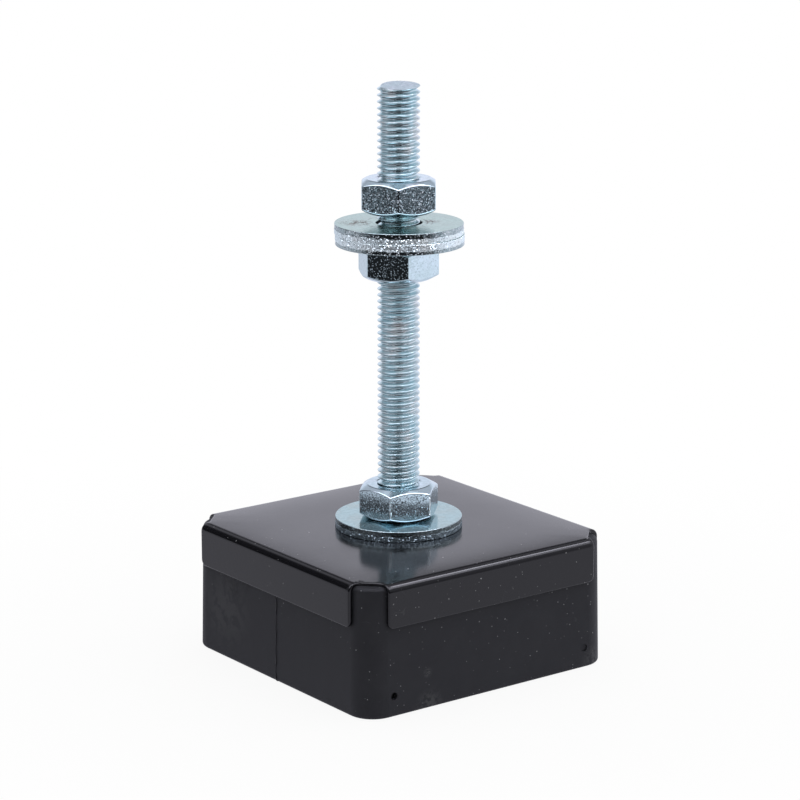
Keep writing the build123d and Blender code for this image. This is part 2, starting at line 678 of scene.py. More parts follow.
@dataclass(frozen=True)
class MouldedRubber(Finish):
    """Matte blue-black moulded rubber with dust, faint smears and scuffs.

    Attributes:
        colour: Colour of the rubber.
        smear: Colour of its faint smears.
        dust: Colour of the dust on it.
        dust_share: Share of the dust pattern's cells that hold a speck.
        dust_strength: How much of the rubber a speck covers.
        roughness: How dull it is.
        relief: Height of its fine grain.
        shine: How strongly it reflects.
        dark_patches: Darker patches on the left side, at the height of the cap's lower edge.
        dark_patch_colour: Their colour.
        dustings: Places where pale dust sticks.
        dusting_colour: Their colour.
    """

    name: str = "moulded_rubber"
    colour: Colour = (0.0115, 0.0118, 0.0145)
    smear: Colour = (0.0175, 0.018, 0.021)
    dust: Colour = (0.42, 0.43, 0.45)
    dust_share: float = 0.36
    dust_strength: float = 0.85
    roughness: float = 0.55
    relief: float = 0.012 * MM
    shine: float = 0.22
    dark_patches: tuple[Stain, ...] = ()
    dark_patch_colour: Colour = (0.002, 0.002, 0.0025)
    dustings: tuple[Stain, ...] = ()
    dusting_colour: Colour = (0.05, 0.051, 0.054)

    def dress(self, board: Board, shader: bpy.types.Node) -> None:
        """Lay out the rubber with its smears, its dust and its fine grain.

        Args:
            board: The material's board.
            shader: The material's shader.
        """
        where = board.place()
        smears = board.clouds(where, 9 * MM, 0.45, 0.25)
        specks = board.times(dust_and_scuffs(board, where, self.dust_share), self.dust_strength)
        colour = board.mix(smears, self.colour, self.smear)
        # Darker patches on the left side, centred at the height of the cap's lower edge.
        for dark_patch in self.dark_patches:
            colour = board.mix(dark_patch.mask(board, where), colour, self.dark_patch_colour)
        for dusting in self.dustings:
            colour = board.mix(dusting.mask(board, where), colour, self.dusting_colour)
        grain = board.effect(SharedEffect.GRAIN, Place=where, Size=0.25 * MM, Finer=0.7)
        waves = board.plus(grain, board.noise(where, 1 / (7 * MM), 1.0), 6.0)
        board.feed(shader, "Base Color", board.mix(specks, colour, self.dust))
        board.feed(shader, "Roughness", board.plus(self.roughness, smears, 0.08))
        board.feed(shader, "Normal", board.bump(waves, self.relief))
        shader.inputs["Specular IOR Level"].default_value = self.shine


MATERIALS: dict[str, bpy.types.Material] = {}


def dust_and_scuffs(board: Board, where: Socket, share: float) -> Socket:
    """Mark dust specks of two sizes and faint hair scuffs.

    Args:
        board: The material's board.
        where: The place on the piece.
        share: Share of the coarse pattern's cells that hold a speck.

    Returns:
        The mask.
    """
    fine_strength, hair_strength = 0.6, 0.05
    coarse = board.effect(SharedEffect.SPECKS, Place=where, Spacing=1.9 * MM, Width=0.12, Share=share)
    fine = board.effect(SharedEffect.SPECKS, Place=where, Spacing=0.9 * MM, Width=0.2, Share=0.2)
    hairs = board.effect(SharedEffect.SCUFFS, Place=where, Spacing=5 * MM, Thinness=0.005, Share=0.4)
    specks = board.math("MAXIMUM", coarse, board.times(fine, fine_strength))
    return board.math("MAXIMUM", specks, board.times(hairs, hair_strength))


def empty_board(owner: bpy.types.Material | bpy.types.World) -> Board:
    """Switch on the nodes of a material or world, and clear them.

    Args:
        owner: The material or world.

    Returns:
        Its board.
    """
    owner.use_nodes = True
    owner.node_tree.nodes.clear()
    return Board(owner.node_tree)


def new_material(name: str) -> tuple[bpy.types.Material, Board, bpy.types.Node]:
    """Start a material with one shader.

    Args:
        name: The material's name.

    Returns:
        The material, its board and its shader.
    """
    material = bpy.data.materials.new(name)
    board = empty_board(material)
    shader = board.add("ShaderNodeBsdfPrincipled")
    board.add("ShaderNodeOutputMaterial", {"Surface": shader.outputs[0]})
    return material, board, shader


# Mesh work


BMVert, BMEdge = bmesh.types.BMVert, bmesh.types.BMEdge


class Workpiece:
    """A piece of the mount while it is being shaped."""

    def __init__(self, name: str) -> None:
        """Start an empty piece.

        Args:
            name: The piece's name.
        """
        self.name = name
        self.bm = bmesh.new()
        self.materials: list[bpy.types.Material] = []

    def surface(self, finish: Finish) -> int:
        """Give the number of a finish on this piece, and add it the first time.

        Args:
            finish: The finish.

        Returns:
            The finish's number.
        """
        material = finish.material()
        if material not in self.materials:
            self.materials.append(material)
        return self.materials.index(material)

    def everything(self) -> list:
        """List all vertices, edges and faces."""
        return [*self.bm.verts, *self.bm.edges, *self.bm.faces]

    def draw(self, places: Iterable[Sequence[float]], closed: bool) -> list:
        """Draw a line through places, closed to a loop or open, and list its geometry.

        Args:
            places: The places in their order.
            closed: True for a loop, False for an open line.

        Returns:
            The line's vertices and edges.
        """
        points = [self.bm.verts.new(place) for place in places]
        ends = points[1:] + points[:1] if closed else points[1:]
        return points + [self.bm.edges.new(pair) for pair in zip(points, ends)]

    def turn_outline(self, outline: Sequence[tuple[float, float]], steps: int) -> None:
        """Turn a closed outline about the Z axis, as on a lathe.

        Args:
            outline: Points as radius and height.
            steps: Number of steps in the full turn.
        """
        line = self.draw([(radius, 0.0, height) for radius, height in outline], closed=True)
        bmesh.ops.spin(
            self.bm, geom=line, cent=(0, 0, 0), axis=UP, angle=FULL_TURN, steps=steps, use_merge=True
        )
        self.close()

    def close(self, reach: float = 1e-7) -> None:
        """Merge doubles and point all faces outwards."""
        bmesh.ops.remove_doubles(self.bm, verts=self.bm.verts, dist=reach)
        self.face_outwards()

    def face_outwards(self) -> None:
        """Point all faces outwards."""
        bmesh.ops.recalc_face_normals(self.bm, faces=self.bm.faces)

    def cut(
        self, geometry: list, at: Vector, outward: Vector, clear: bool = False, reach: float = 1e-8
    ) -> list:
        """Cut through faces along a plane.

        Args:
            geometry: The faces with their edges and vertices.
            at: A point of the plane.
            outward: The direction that the plane faces.
            clear: True takes away what lies beyond the plane.
            reach: Vertices nearer to the plane than this lie on it.

        Returns:
            The edges along the cut.
        """
        done = bmesh.ops.bisect_plane(
            self.bm, geom=geometry, dist=reach, plane_co=at, plane_no=outward, clear_outer=clear
        )
        return only(BMEdge, done["geom_cut"])

    def cut_off(self, at: Vector, outward: Vector, surface: int) -> None:
        """Cut off what lies beyond a plane and close the cut.

        Args:
            at: A point of the plane.
            outward: Direction in which everything is cut off.
            surface: Number of the finish of the new face.
        """
        rim = self.cut(self.everything(), at, outward, clear=True)
        for face in bmesh.ops.contextual_create(self.bm, geom=rim)["faces"]:
            face.material_index = surface

    def sharp_edges(self, angle: float) -> list:
        """List the edges whose faces meet at more than an angle in degrees."""
        limit = math.radians(angle)
        return [e for e in self.bm.edges if len(e.link_faces) == 2 and e.calc_face_angle() > limit]

    def round_edges(self, edges: list, size: float, steps: int) -> list:
        """Round edges.

        Args:
            edges: The edges.
            size: How far the rounding reaches from the edge.
            steps: Number of steps in the rounding.

        Returns:
            The new faces.
        """
        done = bmesh.ops.bevel(
            self.bm, geom=edges, offset=size, segments=steps, profile=0.5, affect="EDGES",
            clamp_overlap=True, material=-1,
        )
        return done["faces"]

    def finish(self, body: str, slot: str, nodes: Sequence[str], crease: float = 35.0) -> bpy.types.Object:
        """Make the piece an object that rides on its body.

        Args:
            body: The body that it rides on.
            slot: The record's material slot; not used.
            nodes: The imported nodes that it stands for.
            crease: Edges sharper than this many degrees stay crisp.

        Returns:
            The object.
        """
        mesh = bpy.data.meshes.new(self.name)
        for face in self.bm.faces:
            face.smooth = True
        self.bm.to_mesh(mesh)
        self.bm.free()
        mesh.set_sharp_from_angle(angle=math.radians(crease))
        for material in self.materials:
            mesh.materials.append(material)
        made = place_object(self.name, mesh)
        weigh = made.modifiers.new("even_shading", "WEIGHTED_NORMAL")
        weigh.keep_sharp = True
        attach(made, body)
        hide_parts(*nodes)
        LOG.info("%s: %d faces, on %s", self.name, len(mesh.polygons), body)
        return made


def only(kind: type, geometry: Iterable) -> list:
    """Pick the vertices or the edges out of mixed geometry."""
    return [g for g in geometry if isinstance(g, kind)]


def touching(faces: list) -> list:
    """List faces with their edges and vertices."""
    return [*faces, *{e for f in faces for e in f.edges}, *{v for f in faces for v in f.verts}]


def lies_at(edge: BMEdge, height: float) -> bool:
    """Say whether an edge lies level at a height."""
    return all(abs(v.co.z - height) < CLOSE for v in edge.verts)


def along(axis: int, length: float = 1.0) -> Vector:
    """Give a vector along an axis: 0 for X, 1 for Y or 2 for Z."""
    return Vector([length if number == axis else 0.0 for number in range(3)])


def heading(degrees: float) -> Vector:
    """Give the level direction at an angle from +X."""
    return Vector((math.cos(math.radians(degrees)), math.sin(math.radians(degrees)), 0.0))


def wander(point: Vector, size: float, seed: float = 0.0) -> float:
    """Give a smooth uneven number between -1 and 1 for a place.

    Args:
        point: The place.
        size: Width of one wave.
        seed: Shifts the pattern.

    Returns:
        The number.
    """
    return noise.noise(point / size + Vector((seed, 2.7 * seed, -1.3 * seed)))


# Hardware


ROLLED_THREAD = ZincPlating(
    "zinc_thread", tint=(0.53, 0.68, 0.71), sheen=(0.72, 0.72, 0.70), roughness=0.24, uneven=0.04,
    grain_height=0.001 * MM,
)
SAWN_END = ZincPlating("zinc_sawn_end", roughness=0.3, grain_height=0.008 * MM, grain_size=0.35 * MM)
PRESSED_FLAT = PressedFlat("zinc_pressed_flat", roughness=0.14)
SMOOTHER_FLAT = PressedFlat(
    "zinc_smoother_flat", tint=(0.57, 0.72, 0.77), roughness=0.12, tilt=0.17, mottle=0.4
)
SMOOTHEST_FLAT = PressedFlat(
    "zinc_smoothest_flat", tint=(0.61, 0.76, 0.79), roughness=0.1, crystal=0.13 * MM, tilt=0.2, mottle=0.04
)
TURNED_FACE = ZincPlating(
    "zinc_turned_face", tint=(0.49, 0.61, 0.65), sheen=(0.57, 0.61, 0.67), roughness=0.18,
    grain_height=0.004 * MM,
)
BURNISHED_RIM = PressedFlat(
    "zinc_burnished_rim", tint=(0.40, 0.50, 0.51), sheen=(0.52, 0.58, 0.56), roughness=0.16, tilt=0.34
)
BROKEN_RIM = BrokenSteel("zinc_broken_rim")
DARK_BROKEN_RIM = BrokenSteel("zinc_dark_broken_rim", tint=(0.34, 0.42, 0.46), sheen=(0.22, 0.28, 0.30))
# Painted shade: the hole wall's near-black finish stands in for the shade inside the washers' holes.
HOLE_WALL_PAINTED_SHADE = PaintedShadeHoleWall("zinc_hole_wall_painted_shade")


@dataclass
class MountPart:
    """A part of the mount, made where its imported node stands.

    Attributes:
        node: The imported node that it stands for.
        body: The body that it rides on.
    """

    node: str
    body: str

    def __post_init__(self) -> None:
        """Read the two corners of the node's box."""
        self.low, self.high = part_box(self.node)


@dataclass
class ThreadedStud(MountPart):
    """The stud with its rolled thread, sawn off at the top.

    Attributes:
        pitch: Rise of the thread in one turn.
        crest: Radius at the crests.
        root: Radius at the roots.
        crest_half: Half of the crests' width.
        root_half: Half of the roots' width.
        ease: Rounding beside the crests and the roots.
        crest_place: Height of a crest, in the first pitch, at the crest angle.
        crest_angle: Direction from the axis in which a crest has that height, in degrees.
        saw_slant: How far the sawn end leans towards the photograph's side, in degrees.
        steps: Steps in one turn.
    """

    node: str = "threaded_stud"
    body: str = "frame"
    pitch: float = 1.5 * MM
    crest: float = 4.93 * MM
    root: float = 4.13 * MM
    crest_half: float = 0.08 * MM
    root_half: float = 0.12 * MM
    ease: float = 0.07 * MM
    crest_place: float = 0.045 * MM
    crest_angle: float = 143.5
    saw_slant: float = 4.0
    steps: int = 48

    def thread_form(self) -> list[tuple[float, float]]:
        """Give one pitch of the thread's outline, from the middle of a root upwards, as radius and height."""
        lower = [
            (self.root, self.root_half),
            (self.root + self.ease, self.root_half + 0.1 * MM),
            (self.crest - self.ease, self.pitch / 2 - self.crest_half - self.ease),
            (self.crest, self.pitch / 2 - self.crest_half),
        ]
        return lower + [(radius, self.pitch - height) for radius, height in reversed(lower)]

    def build(self) -> bpy.types.Object:
        """Wind the thread, saw off both ends and set the stud in the frame.

        Returns:
            The stud.
        """
        piece = Workpiece("stud")
        thread, sawn = piece.surface(ROLLED_THREAD), piece.surface(SAWN_END)
        start = self.low.z - 2 * self.pitch
        start += (self.crest_place - self.pitch / 2 - start) % self.pitch
        turns = math.ceil((self.high.z - start) / self.pitch) + 2
        toward = heading(self.crest_angle)
        line = piece.draw(
            [
                toward * radius + UP * (start + turn * self.pitch + height)
                for turn in range(turns)
                for radius, height in self.thread_form()
            ],
            closed=False,
        )
        bmesh.ops.spin(
            piece.bm, geom=line, cent=(0, 0, 0), axis=UP, dvec=UP * (self.pitch / self.steps),
            angle=FULL_TURN, steps=self.steps,
        )
        piece.close(CLOSE)
        slant, front = math.radians(self.saw_slant), Studio().toward_camera()
        back_edge = UP * self.high.z - front * self.crest
        piece.cut_off(back_edge, UP * math.cos(slant) + front * math.sin(slant), sawn)
        piece.cut_off(self.low, -UP, sawn)
        piece.face_outwards()
        for face in piece.bm.faces:
            if face.material_index != sawn:
                face.material_index = thread
        return piece.finish(self.body, "zinc", [self.node], crease=65.0)


@dataclass
class HexagonNut(MountPart):
    """A hexagon nut: pressed flats, faces turned to a cone, and a bore with countersinks.

    Attributes:
        turn: Angle of a corner from +X, in degrees.
        flat: Finish of its flats.
        painted_corner_highlight: True if its upright corners get a painted highlight, the bright torn-steel
            finish on their roundings.
        across_flats: Width over two flats.
        face_diameter: Diameter of the flat bearing faces.
        chamfer_angle: Slope of the cones, in degrees.
        bore: Radius of the bore.
        countersink: Width of the countersinks.
        edge: Size of the rounding of its edges.
        steps: Steps in one turn.
    """

    turn: float = 0.0
    flat: PressedFlat = PRESSED_FLAT
    painted_corner_highlight: bool = False
    across_flats: float = 17.0 * MM
    face_diameter: float = 15.1 * MM
    chamfer_angle: float = 30.0
    bore: float = 4.6 * MM
    countersink: float = 0.75 * MM
    edge: float = 0.26 * MM
    steps: int = 96

    def outline(self) -> list[tuple[float, float]]:
        """Give the closed outline that is turned, as radius and height.

        Returns:
            The points.
        """
        low, high = self.low.z, self.high.z
        middle = (low + high) / 2
        face = self.face_diameter / 2
        waist = face + (middle - low) / math.tan(math.radians(self.chamfer_angle))
        mouth = self.bore + self.countersink
        sink = self.countersink * math.tan(math.radians(self.chamfer_angle))
        return [
            (mouth, low), (face, low), (waist, middle), (face, high), (mouth, high),
            (self.bore, high - sink), (self.bore, low + sink),
        ]

    def build(self) -> bpy.types.Object:
        """Turn the blank, mill its six flats and round its edges.

        Returns:
            The nut.
        """
        piece = Workpiece(self.node.replace("_nut", "_hexagon_nut"))
        turned, flat = piece.surface(TURNED_FACE), piece.surface(self.flat)
        piece.turn_outline(self.outline(), self.steps)
        for face in piece.bm.faces:
            face.material_index = turned
        for side in range(6):
            outward = heading(30 + 60 * side)
            piece.cut_off(outward * self.across_flats / 2, outward, flat)
        piece.face_outwards()
        # Painted highlight: with painted_corner_highlight the upright corner roundings take the bright
        # torn-steel finish.
        worn = piece.surface(BROKEN_RIM if self.painted_corner_highlight else self.flat)
        for face in piece.round_edges(piece.sharp_edges(22.0), self.edge, 3):
            face.material_index = worn if abs(face.normal.z) < 0.1 else turned
        spun = Matrix.Rotation(math.radians(self.turn), 3, "Z")
        bmesh.ops.rotate(piece.bm, cent=(0, 0, 0), matrix=spun, verts=piece.bm.verts)
        return piece.finish(self.body, "zinc", [self.node])


@dataclass
class LargeWasher(MountPart):
    """A punched washer with a rolled-in edge and a rim that broke as it was punched.

    Attributes:
        flipped: True if the rolled-in edge points down.
        stains: Brownish stains on its upper side.
        tint: Main colour of its plating.
        torn: Finish of the broken band.
        diameter: Outer diameter.
        hole: Diameter of the hole.
        shift: How far it hangs to the photograph's right, within the play of its hole.
        roll: Size of the rolled-in edge.
        burr: Rounding of the edge on the other side.
        broken_share: Share of the thickness that broke.
        jag: Height of the coarse and of the fine jags between the burnished and the broken band.
        sunk: How far the burnished band lies inside the diameter.
        rough: Greatest depth of the broken band.
        drawn: How far the edges lie inside the diameter.
        levels: Steps in the height of the rim.
        steps: Steps in one turn.
    """

    flipped: bool = False
    stains: tuple[Stain, ...] = ()
    tint: Colour = (0.50, 0.62, 0.61)
    torn: BrokenSteel = BROKEN_RIM
    diameter: float = 30.0 * MM
    hole: float = 10.8 * MM
    shift: float = 0.0
    roll: float = 0.36 * MM
    burr: float = 0.17 * MM
    broken_share: float = 0.5
    jag: tuple[float, float] = (0.26 * MM, 0.16 * MM)
    sunk: float = 0.09 * MM
    rough: float = 0.07 * MM
    drawn: float = 0.06 * MM
    levels: int = 18
    steps: int = 600

    def build(self) -> bpy.types.Object:
        """Turn the washer, tear its rim and round its edges.

        Returns:
            The washer.
        """
        low, high = self.low.z, self.high.z
        piece = Workpiece(self.node.replace("_washer", "_large_washer"))
        plated = HandledSheet(
            f"zinc_sheet_{self.node}", tint=self.tint, roughness=0.18, grain_height=0.0035 * MM,
            stains=self.stains,
        )
        finishes = (plated, BURNISHED_RIM, self.torn, HOLE_WALL_PAINTED_SHADE)
        sheet, burnished, broken, wall = (piece.surface(finish) for finish in finishes)
        outer, inner = self.diameter / 2, self.hole / 2
        rim = [(outer, low + (high - low) * level / self.levels) for level in range(self.levels + 1)]
        piece.turn_outline([(inner, low), *rim, (inner, high)], self.steps)
        for face in piece.bm.faces:
            # Upright faces at the hole take the painted shade of the hole wall.
            upright = burnished if face.calc_center_median().xy.length > inner * 1.1 else wall
            face.material_index = sheet if abs(face.normal.z) > 0.5 else upright
        self.tear_rim(piece, broken)
        rolled, burred = (low, high) if self.flipped else (high, low)
        for level, size, steps in ((rolled, self.roll, 5), (burred, self.burr, 2)):
            corner = [e for e in piece.sharp_edges(40.0) if lies_at(e, level)]
            piece.round_edges(corner, size, steps)
        aside = Studio().camera_right() * self.shift
        bmesh.ops.translate(piece.bm, vec=aside, verts=piece.bm.verts)
        return piece.finish(self.body, "zinc", [self.node])

    def tear_rim(self, piece: Workpiece, broken: int) -> None:
        """Sink the burnished band, and leave the broken one proud and torn, with a jagged border.

        Args:
            piece: The washer.
            broken: Number of the finish of the broken band.
        """
        low, high = self.low.z, self.high.z
        outer, near_rim, on_rim = self.diameter / 2, 0.3 * MM, 0.01 * MM

        def torn(place: Vector) -> bool:
            """Say whether a place on the rim lies in the broken band.

            Args:
                place: The place.

            Returns:
                True in the broken band.
            """
            around = Vector((place.x, place.y, low))
            coarse, fine = wander(around, 0.9 * MM, 3.0), wander(around, 0.35 * MM, 8.0)
            from_burr = high - place.z if self.flipped else place.z - low
            return from_burr < (high - low) * self.broken_share + self.jag[0] * coarse + self.jag[1] * fine

        for face in piece.bm.faces:
            middle = face.calc_center_median()
            if middle.xy.length > outer - near_rim and abs(face.normal.z) < 0.5 and torn(middle):
                face.material_index = broken
        for vert in piece.bm.verts:
            if vert.co.xy.length < outer - on_rim:
                continue
            around = Vector((vert.co.x, vert.co.y, 0.0)).normalized()
            back = self.sunk
            if torn(vert.co):
                rough = 0.5 + 0.5 * wander(vert.co, 0.45 * MM) + 0.35 * wander(vert.co, 0.2 * MM, 4.0)
                back = self.rough * min(1.0, max(0.0, rough))
            edge = min(vert.co.z - low, high - vert.co.z)
            vert.co -= around * (back if edge > CLOSE else self.drawn)


# Cap and block


@dataclass
class FoldedCap(MountPart):
    """The cap, folded from one sheet, with a notch at each corner.

    Attributes:
        sheet: Thickness of the sheet.
        bend: Outer radius of the bends.
        relief: From where two flanges would meet to the end of a flange.
        hole: Diameter of the hole for the stud.
        notch: Radius of the notches' inner corners.
        corner: Radius of the flanges' lower corners.
        coated_edge: Rounding of the sheet's edges below the coating.
        dome: How far the top sinks towards the bends.
        dome_reach: From a bend to where the top is level.
        dome_steps: Steps from a bend to there, on each side.
        bend_steps: Steps in a bend.
        notch_steps: Steps in a notch's corner.
        hole_steps: Steps round the hole.
    """

    node: str = "cap_plate"
    body: str = "frame"
    sheet: float = 1.0 * MM
    bend: float = 1.9 * MM
    relief: float = 6.4 * MM
    hole: float = 10.5 * MM
    notch: float = 1.4 * MM
    corner: float = 1.5 * MM
    coated_edge: float = 0.38 * MM
    dome: float = 0.3 * MM
    dome_reach: float = 15.0 * MM
    dome_steps: int = 8
    bend_steps: int = 8
    notch_steps: int = 5
    hole_steps: int = 64

    def __post_init__(self) -> None:
        """Read the sizes of the cap: half of its width, its heights and half of its flat part."""
        super().__post_init__()
        self.half, self.top, self.foot = self.high.x, self.high.z, self.low.z
        self.flat = self.half - self.bend

    def build(self) -> bpy.types.Object:
        """Cut the blank, fold it, give it its thickness and round its edges.

        Returns:
            The cap.
        """
        piece = Workpiece("folded_cap")
        piece.surface(BlackCoating())
        self.cut_blank(piece)
        for side in range(4):
            self.fold_flange(piece, side)
        piece.close()
        self.thicken(piece)
        self.ease_corners(piece)
        self.crown(piece)
        return piece.finish(self.body, "black_coating", [self.node], crease=50.0)

    def cut_blank(self, piece: Workpiece) -> None:
        """Lay out the flat top with its four cut corners and its hole.

        Args:
            piece: The cap.
        """
        flat, end, notch, top = self.flat, self.half - self.relief, self.notch, self.top
        arcs = (((end, flat), (end + notch, flat), 1), ((flat, end), (flat, end + notch), -1))
        starts = []
        for corner in range(4):
            turn = Matrix.Rotation(math.radians(90 * corner), 4, "Z")
            tips = []
            for begin, middle, way in arcs:
                start = piece.bm.verts.new(turn @ Vector((*begin, top)))
                arc = bmesh.ops.spin(
                    piece.bm, geom=[start], cent=turn @ Vector((*middle, top)), axis=UP,
                    angle=way * math.radians(45), steps=self.notch_steps,
                )
                starts.append(start)
                tips += only(BMVert, arc["geom_last"])
            piece.bm.edges.new(tips)
        for pair in zip(starts[::2], starts[3::2] + starts[1:2]):
            piece.bm.edges.new(pair)
        lines = piece.bm.edges[:]
        ring = bmesh.ops.create_circle(
            piece.bm, segments=self.hole_steps, radius=self.hole / 2, matrix=Matrix.Translation((0, 0, top))
        )
        lines += list({e for v in ring["verts"] for e in v.link_edges})
        bmesh.ops.triangle_fill(piece.bm, edges=lines, use_beauty=True, use_dissolve=False, normal=UP)

    def fold_flange(self, piece: Workpiece, side: int) -> None:
        """Bend one flange down and draw it to its length.

        Args:
            piece: The cap.
            side: Number of the side.
        """
        turn = Matrix.Rotation(math.radians(90 * side), 4, "Z")
        outward, fold_line = turn @ Vector((0, -1, 0)), turn @ Vector((1, 0, 0))
        bend_height = self.top - self.bend
        edge = [
            e for e in piece.bm.edges
            if lies_at(e, self.top) and all(abs(v.co.dot(outward) - self.flat) < CLOSE for v in e.verts)
            and abs((e.verts[1].co - e.verts[0].co).normalized().dot(fold_line)) > 0.99
        ]
        bent = bmesh.ops.spin(
            piece.bm, geom=[*edge, *{v for e in edge for v in e.verts}],
            cent=outward * self.flat + UP * bend_height, axis=fold_line, angle=math.radians(90),
            steps=self.bend_steps,
        )
        drawn = bmesh.ops.extrude_edge_only(piece.bm, edges=only(BMEdge, bent["geom_last"]))
        points = only(BMVert, drawn["geom"])
        bmesh.ops.translate(piece.bm, verts=points, vec=UP * (self.foot - bend_height))

    def thicken(self, piece: Workpiece) -> None:
        """Give the folded skin the thickness of the sheet, inwards.

        Args:
            piece: The cap.
        """
        flat = max(piece.bm.faces, key=lambda f: abs(f.normal.z) * f.calc_area())
        if flat.normal.z < 0:
            bmesh.ops.reverse_faces(piece.bm, faces=piece.bm.faces)
        bmesh.ops.solidify(piece.bm, geom=piece.bm.faces[:], thickness=self.sheet)
        piece.face_outwards()

    def ease_corners(self, piece: Workpiece) -> None:
        """Round the flanges' lower corners and the sheet's edges.

        Args:
            piece: The cap.
        """
        through_sheet = 0.08 * MM
        lower_corners = [
            e for e in piece.sharp_edges(40.0)
            if lies_at(e, self.foot) and abs(e.calc_length() - self.sheet) < through_sheet
        ]
        piece.round_edges(lower_corners, self.corner, 6)
        rim = [e for e in piece.sharp_edges(60.0) if e.verts[0].co.xy.length > self.hole]
        piece.round_edges(rim, self.coated_edge, 4)

    def crown(self, piece: Workpiece) -> None:
        """Let the top sink a little towards the bends, as pressing leaves it.

        Args:
            piece: The cap.
        """
        for step in range(1, self.dome_steps + 1):
            inset = self.dome_reach * (step / self.dome_steps) ** 2
            for axis, way in ((0, -1), (0, 1), (1, -1), (1, 1)):
                at = along(axis, way * (self.flat - inset))
                piece.cut(piece.everything(), at, along(axis), reach=1e-7)

        def rise(coordinate: float) -> float:
            """Say how far the top has risen, 0 at a bend and 1 where it is level."""
            inset = min(1.0, max(0.0, (self.flat - abs(coordinate)) / self.dome_reach))
            return 1 - (1 - inset) ** 3

        for vert in piece.bm.verts:
            if vert.co.z > self.foot + self.corner + MM:
                vert.co.z -= self.dome * (1 - rise(vert.co.x) * rise(vert.co.y))


@dataclass
class RubberBlock(MountPart):
    """The moulded rubber block.

    Attributes:
        draft: Slope of its sides, in degrees.
        corner: Radius of its upright corners.
        top_round: Rounding of its upper edges.
        foot_round: Rounding of its lower edges.
        pocket: Radius of the pocket for the inner nut.
        pocket_depth: Depth of the pocket.
        seam_width: Width of the mould's parting line.
        seam_height: How far it stands out.
        seam_top: Height of the seam's upper end.
        seam_wear: Share of its height that its waves take off on average.
        seam_wave: How far the seam strays to either side.
        seam_taper: How much narrower its ridge is on either side.
        seam_steps: Steps along the seam.
        pin: Radius of the pin marks.
        pin_places: Place along the front, depth and height of each pin mark.
    """

    node: str = "rubber_block"
    body: str = "rubber"
    draft: float = 0.9
    corner: float = 6.3 * MM
    top_round: float = 1.2 * MM
    foot_round: float = 0.8 * MM
    pocket: float = 11.8 * MM
    pocket_depth: float = 14.4 * MM
    seam_width: float = 0.35 * MM
    seam_height: float = 0.25 * MM
    seam_top: float = 20.7 * MM
    seam_wear: float = 0.38
    seam_wave: float = 0.3 * MM
    seam_taper: float = 0.05 * MM
    seam_steps: int = 39
    pin: float = 0.9 * MM
    pin_places: tuple[tuple[float, ...], ...] = (
        (-27.8 * MM, 1.5 * MM, 4.9 * MM), (27.8 * MM, 0.3 * MM, 4.9 * MM),
    )

    def rubber(self) -> MouldedRubber:
        """Give the rubber, with darker patches and dust where the photograph shows them.

        Returns:
            The finish.
        """
        left = front = -self.high.y
        dark_patches = (
            Stain((left, 18.0 * MM, 19.0 * MM), 4.5 * MM, 0.8),
            Stain((left, 12.0 * MM, 20.5 * MM), 3.0 * MM, 0.6),
        )
        dustings = (
            Stain((left, 21.0 * MM, 12.0 * MM), 13.0 * MM, 0.35),
            Stain((-18.0 * MM, front, 0.6 * MM), 5.0 * MM, 0.9),
            Stain((31.0 * MM, front, 0.8 * MM), 5.0 * MM, 0.8),
            Stain((-18.4 * MM, front, 8.5 * MM), 1.6 * MM, 0.8),
        )
        return MouldedRubber(dark_patches=dark_patches, dustings=dustings)

    def build(self) -> bpy.types.Object:
        """Mould the block and give it its own copy of its mesh.

        Returns:
            The block.
        """
        height, half = self.high.z, self.high.y
        piece = Workpiece("moulded_block")
        piece.surface(self.rubber())
        bmesh.ops.create_cube(piece.bm, size=1.0)
        bmesh.ops.scale(piece.bm, vec=(2 * half, 2 * half, height), verts=piece.bm.verts)
        bmesh.ops.translate(piece.bm, vec=UP * (height / 2), verts=piece.bm.verts)
        slim = 1 - height * math.tan(math.radians(self.draft)) / half
        crown = [v for v in piece.bm.verts if v.co.z > height / 2]
        bmesh.ops.scale(piece.bm, vec=(slim, slim, 1), verts=crown)
        upright = [e for e in piece.bm.edges if abs(e.verts[0].co.z - e.verts[1].co.z) > height / 2]
        piece.round_edges(upright, self.corner, 12)
        for level, size, steps in ((0.0, self.foot_round, 5), (height, self.top_round, 4)):
            piece.round_edges([e for e in piece.bm.edges if lies_at(e, level)], size, steps)
        self.sink_pocket(piece)
        for side in (-1, 1):
            self.raise_seam(piece, side)
        for place in self.pin_places:
            self.press_pin(piece, Vector(place))
        piece.close()
        made = piece.finish(self.body, "rubber", [self.node], crease=50.0)
        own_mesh(made)
        return made

    def sink_pocket(self, piece: Workpiece) -> None:
        """Sink the round pocket for the inner nut into the top.

        Args:
            piece: The block.
        """
        top = max(piece.bm.faces, key=lambda f: (f.calc_center_median().z, f.calc_area()))
        bmesh.ops.inset_region(piece.bm, faces=[top], thickness=8 * MM, use_even_offset=True)
        for vert in top.verts:
            flat = Vector((vert.co.x, vert.co.y, 0.0)).normalized() * self.pocket
            vert.co = Vector((flat.x, flat.y, self.high.z))
        floor = bmesh.ops.extrude_discrete_faces(piece.bm, faces=[top])["faces"][0]
        bmesh.ops.translate(piece.bm, vec=-UP * self.pocket_depth, verts=floor.verts)

    def raise_seam(self, piece: Workpiece, side: int) -> None:
        """Raise the mould's wavy parting line on one side.

        Args:
            piece: The block.
            side: -1 for the side at -X, 1 for the side at +X.
        """
        half = self.seam_width / 2

        def wall() -> list:
            """List the faces of the side."""
            return [f for f in piece.bm.faces if f.normal.x * side > 0.05 and abs(f.normal.y) < 0.5]

        def strip() -> list:
            """List the faces of the seam's narrow strip."""
            return [
                f for f in piece.bm.faces
                if f.normal.x * side > 0.05 and abs(f.calc_center_median().y) < half * 0.9
                and max(abs(v.co.y) for v in f.verts) < half * 1.1
            ]

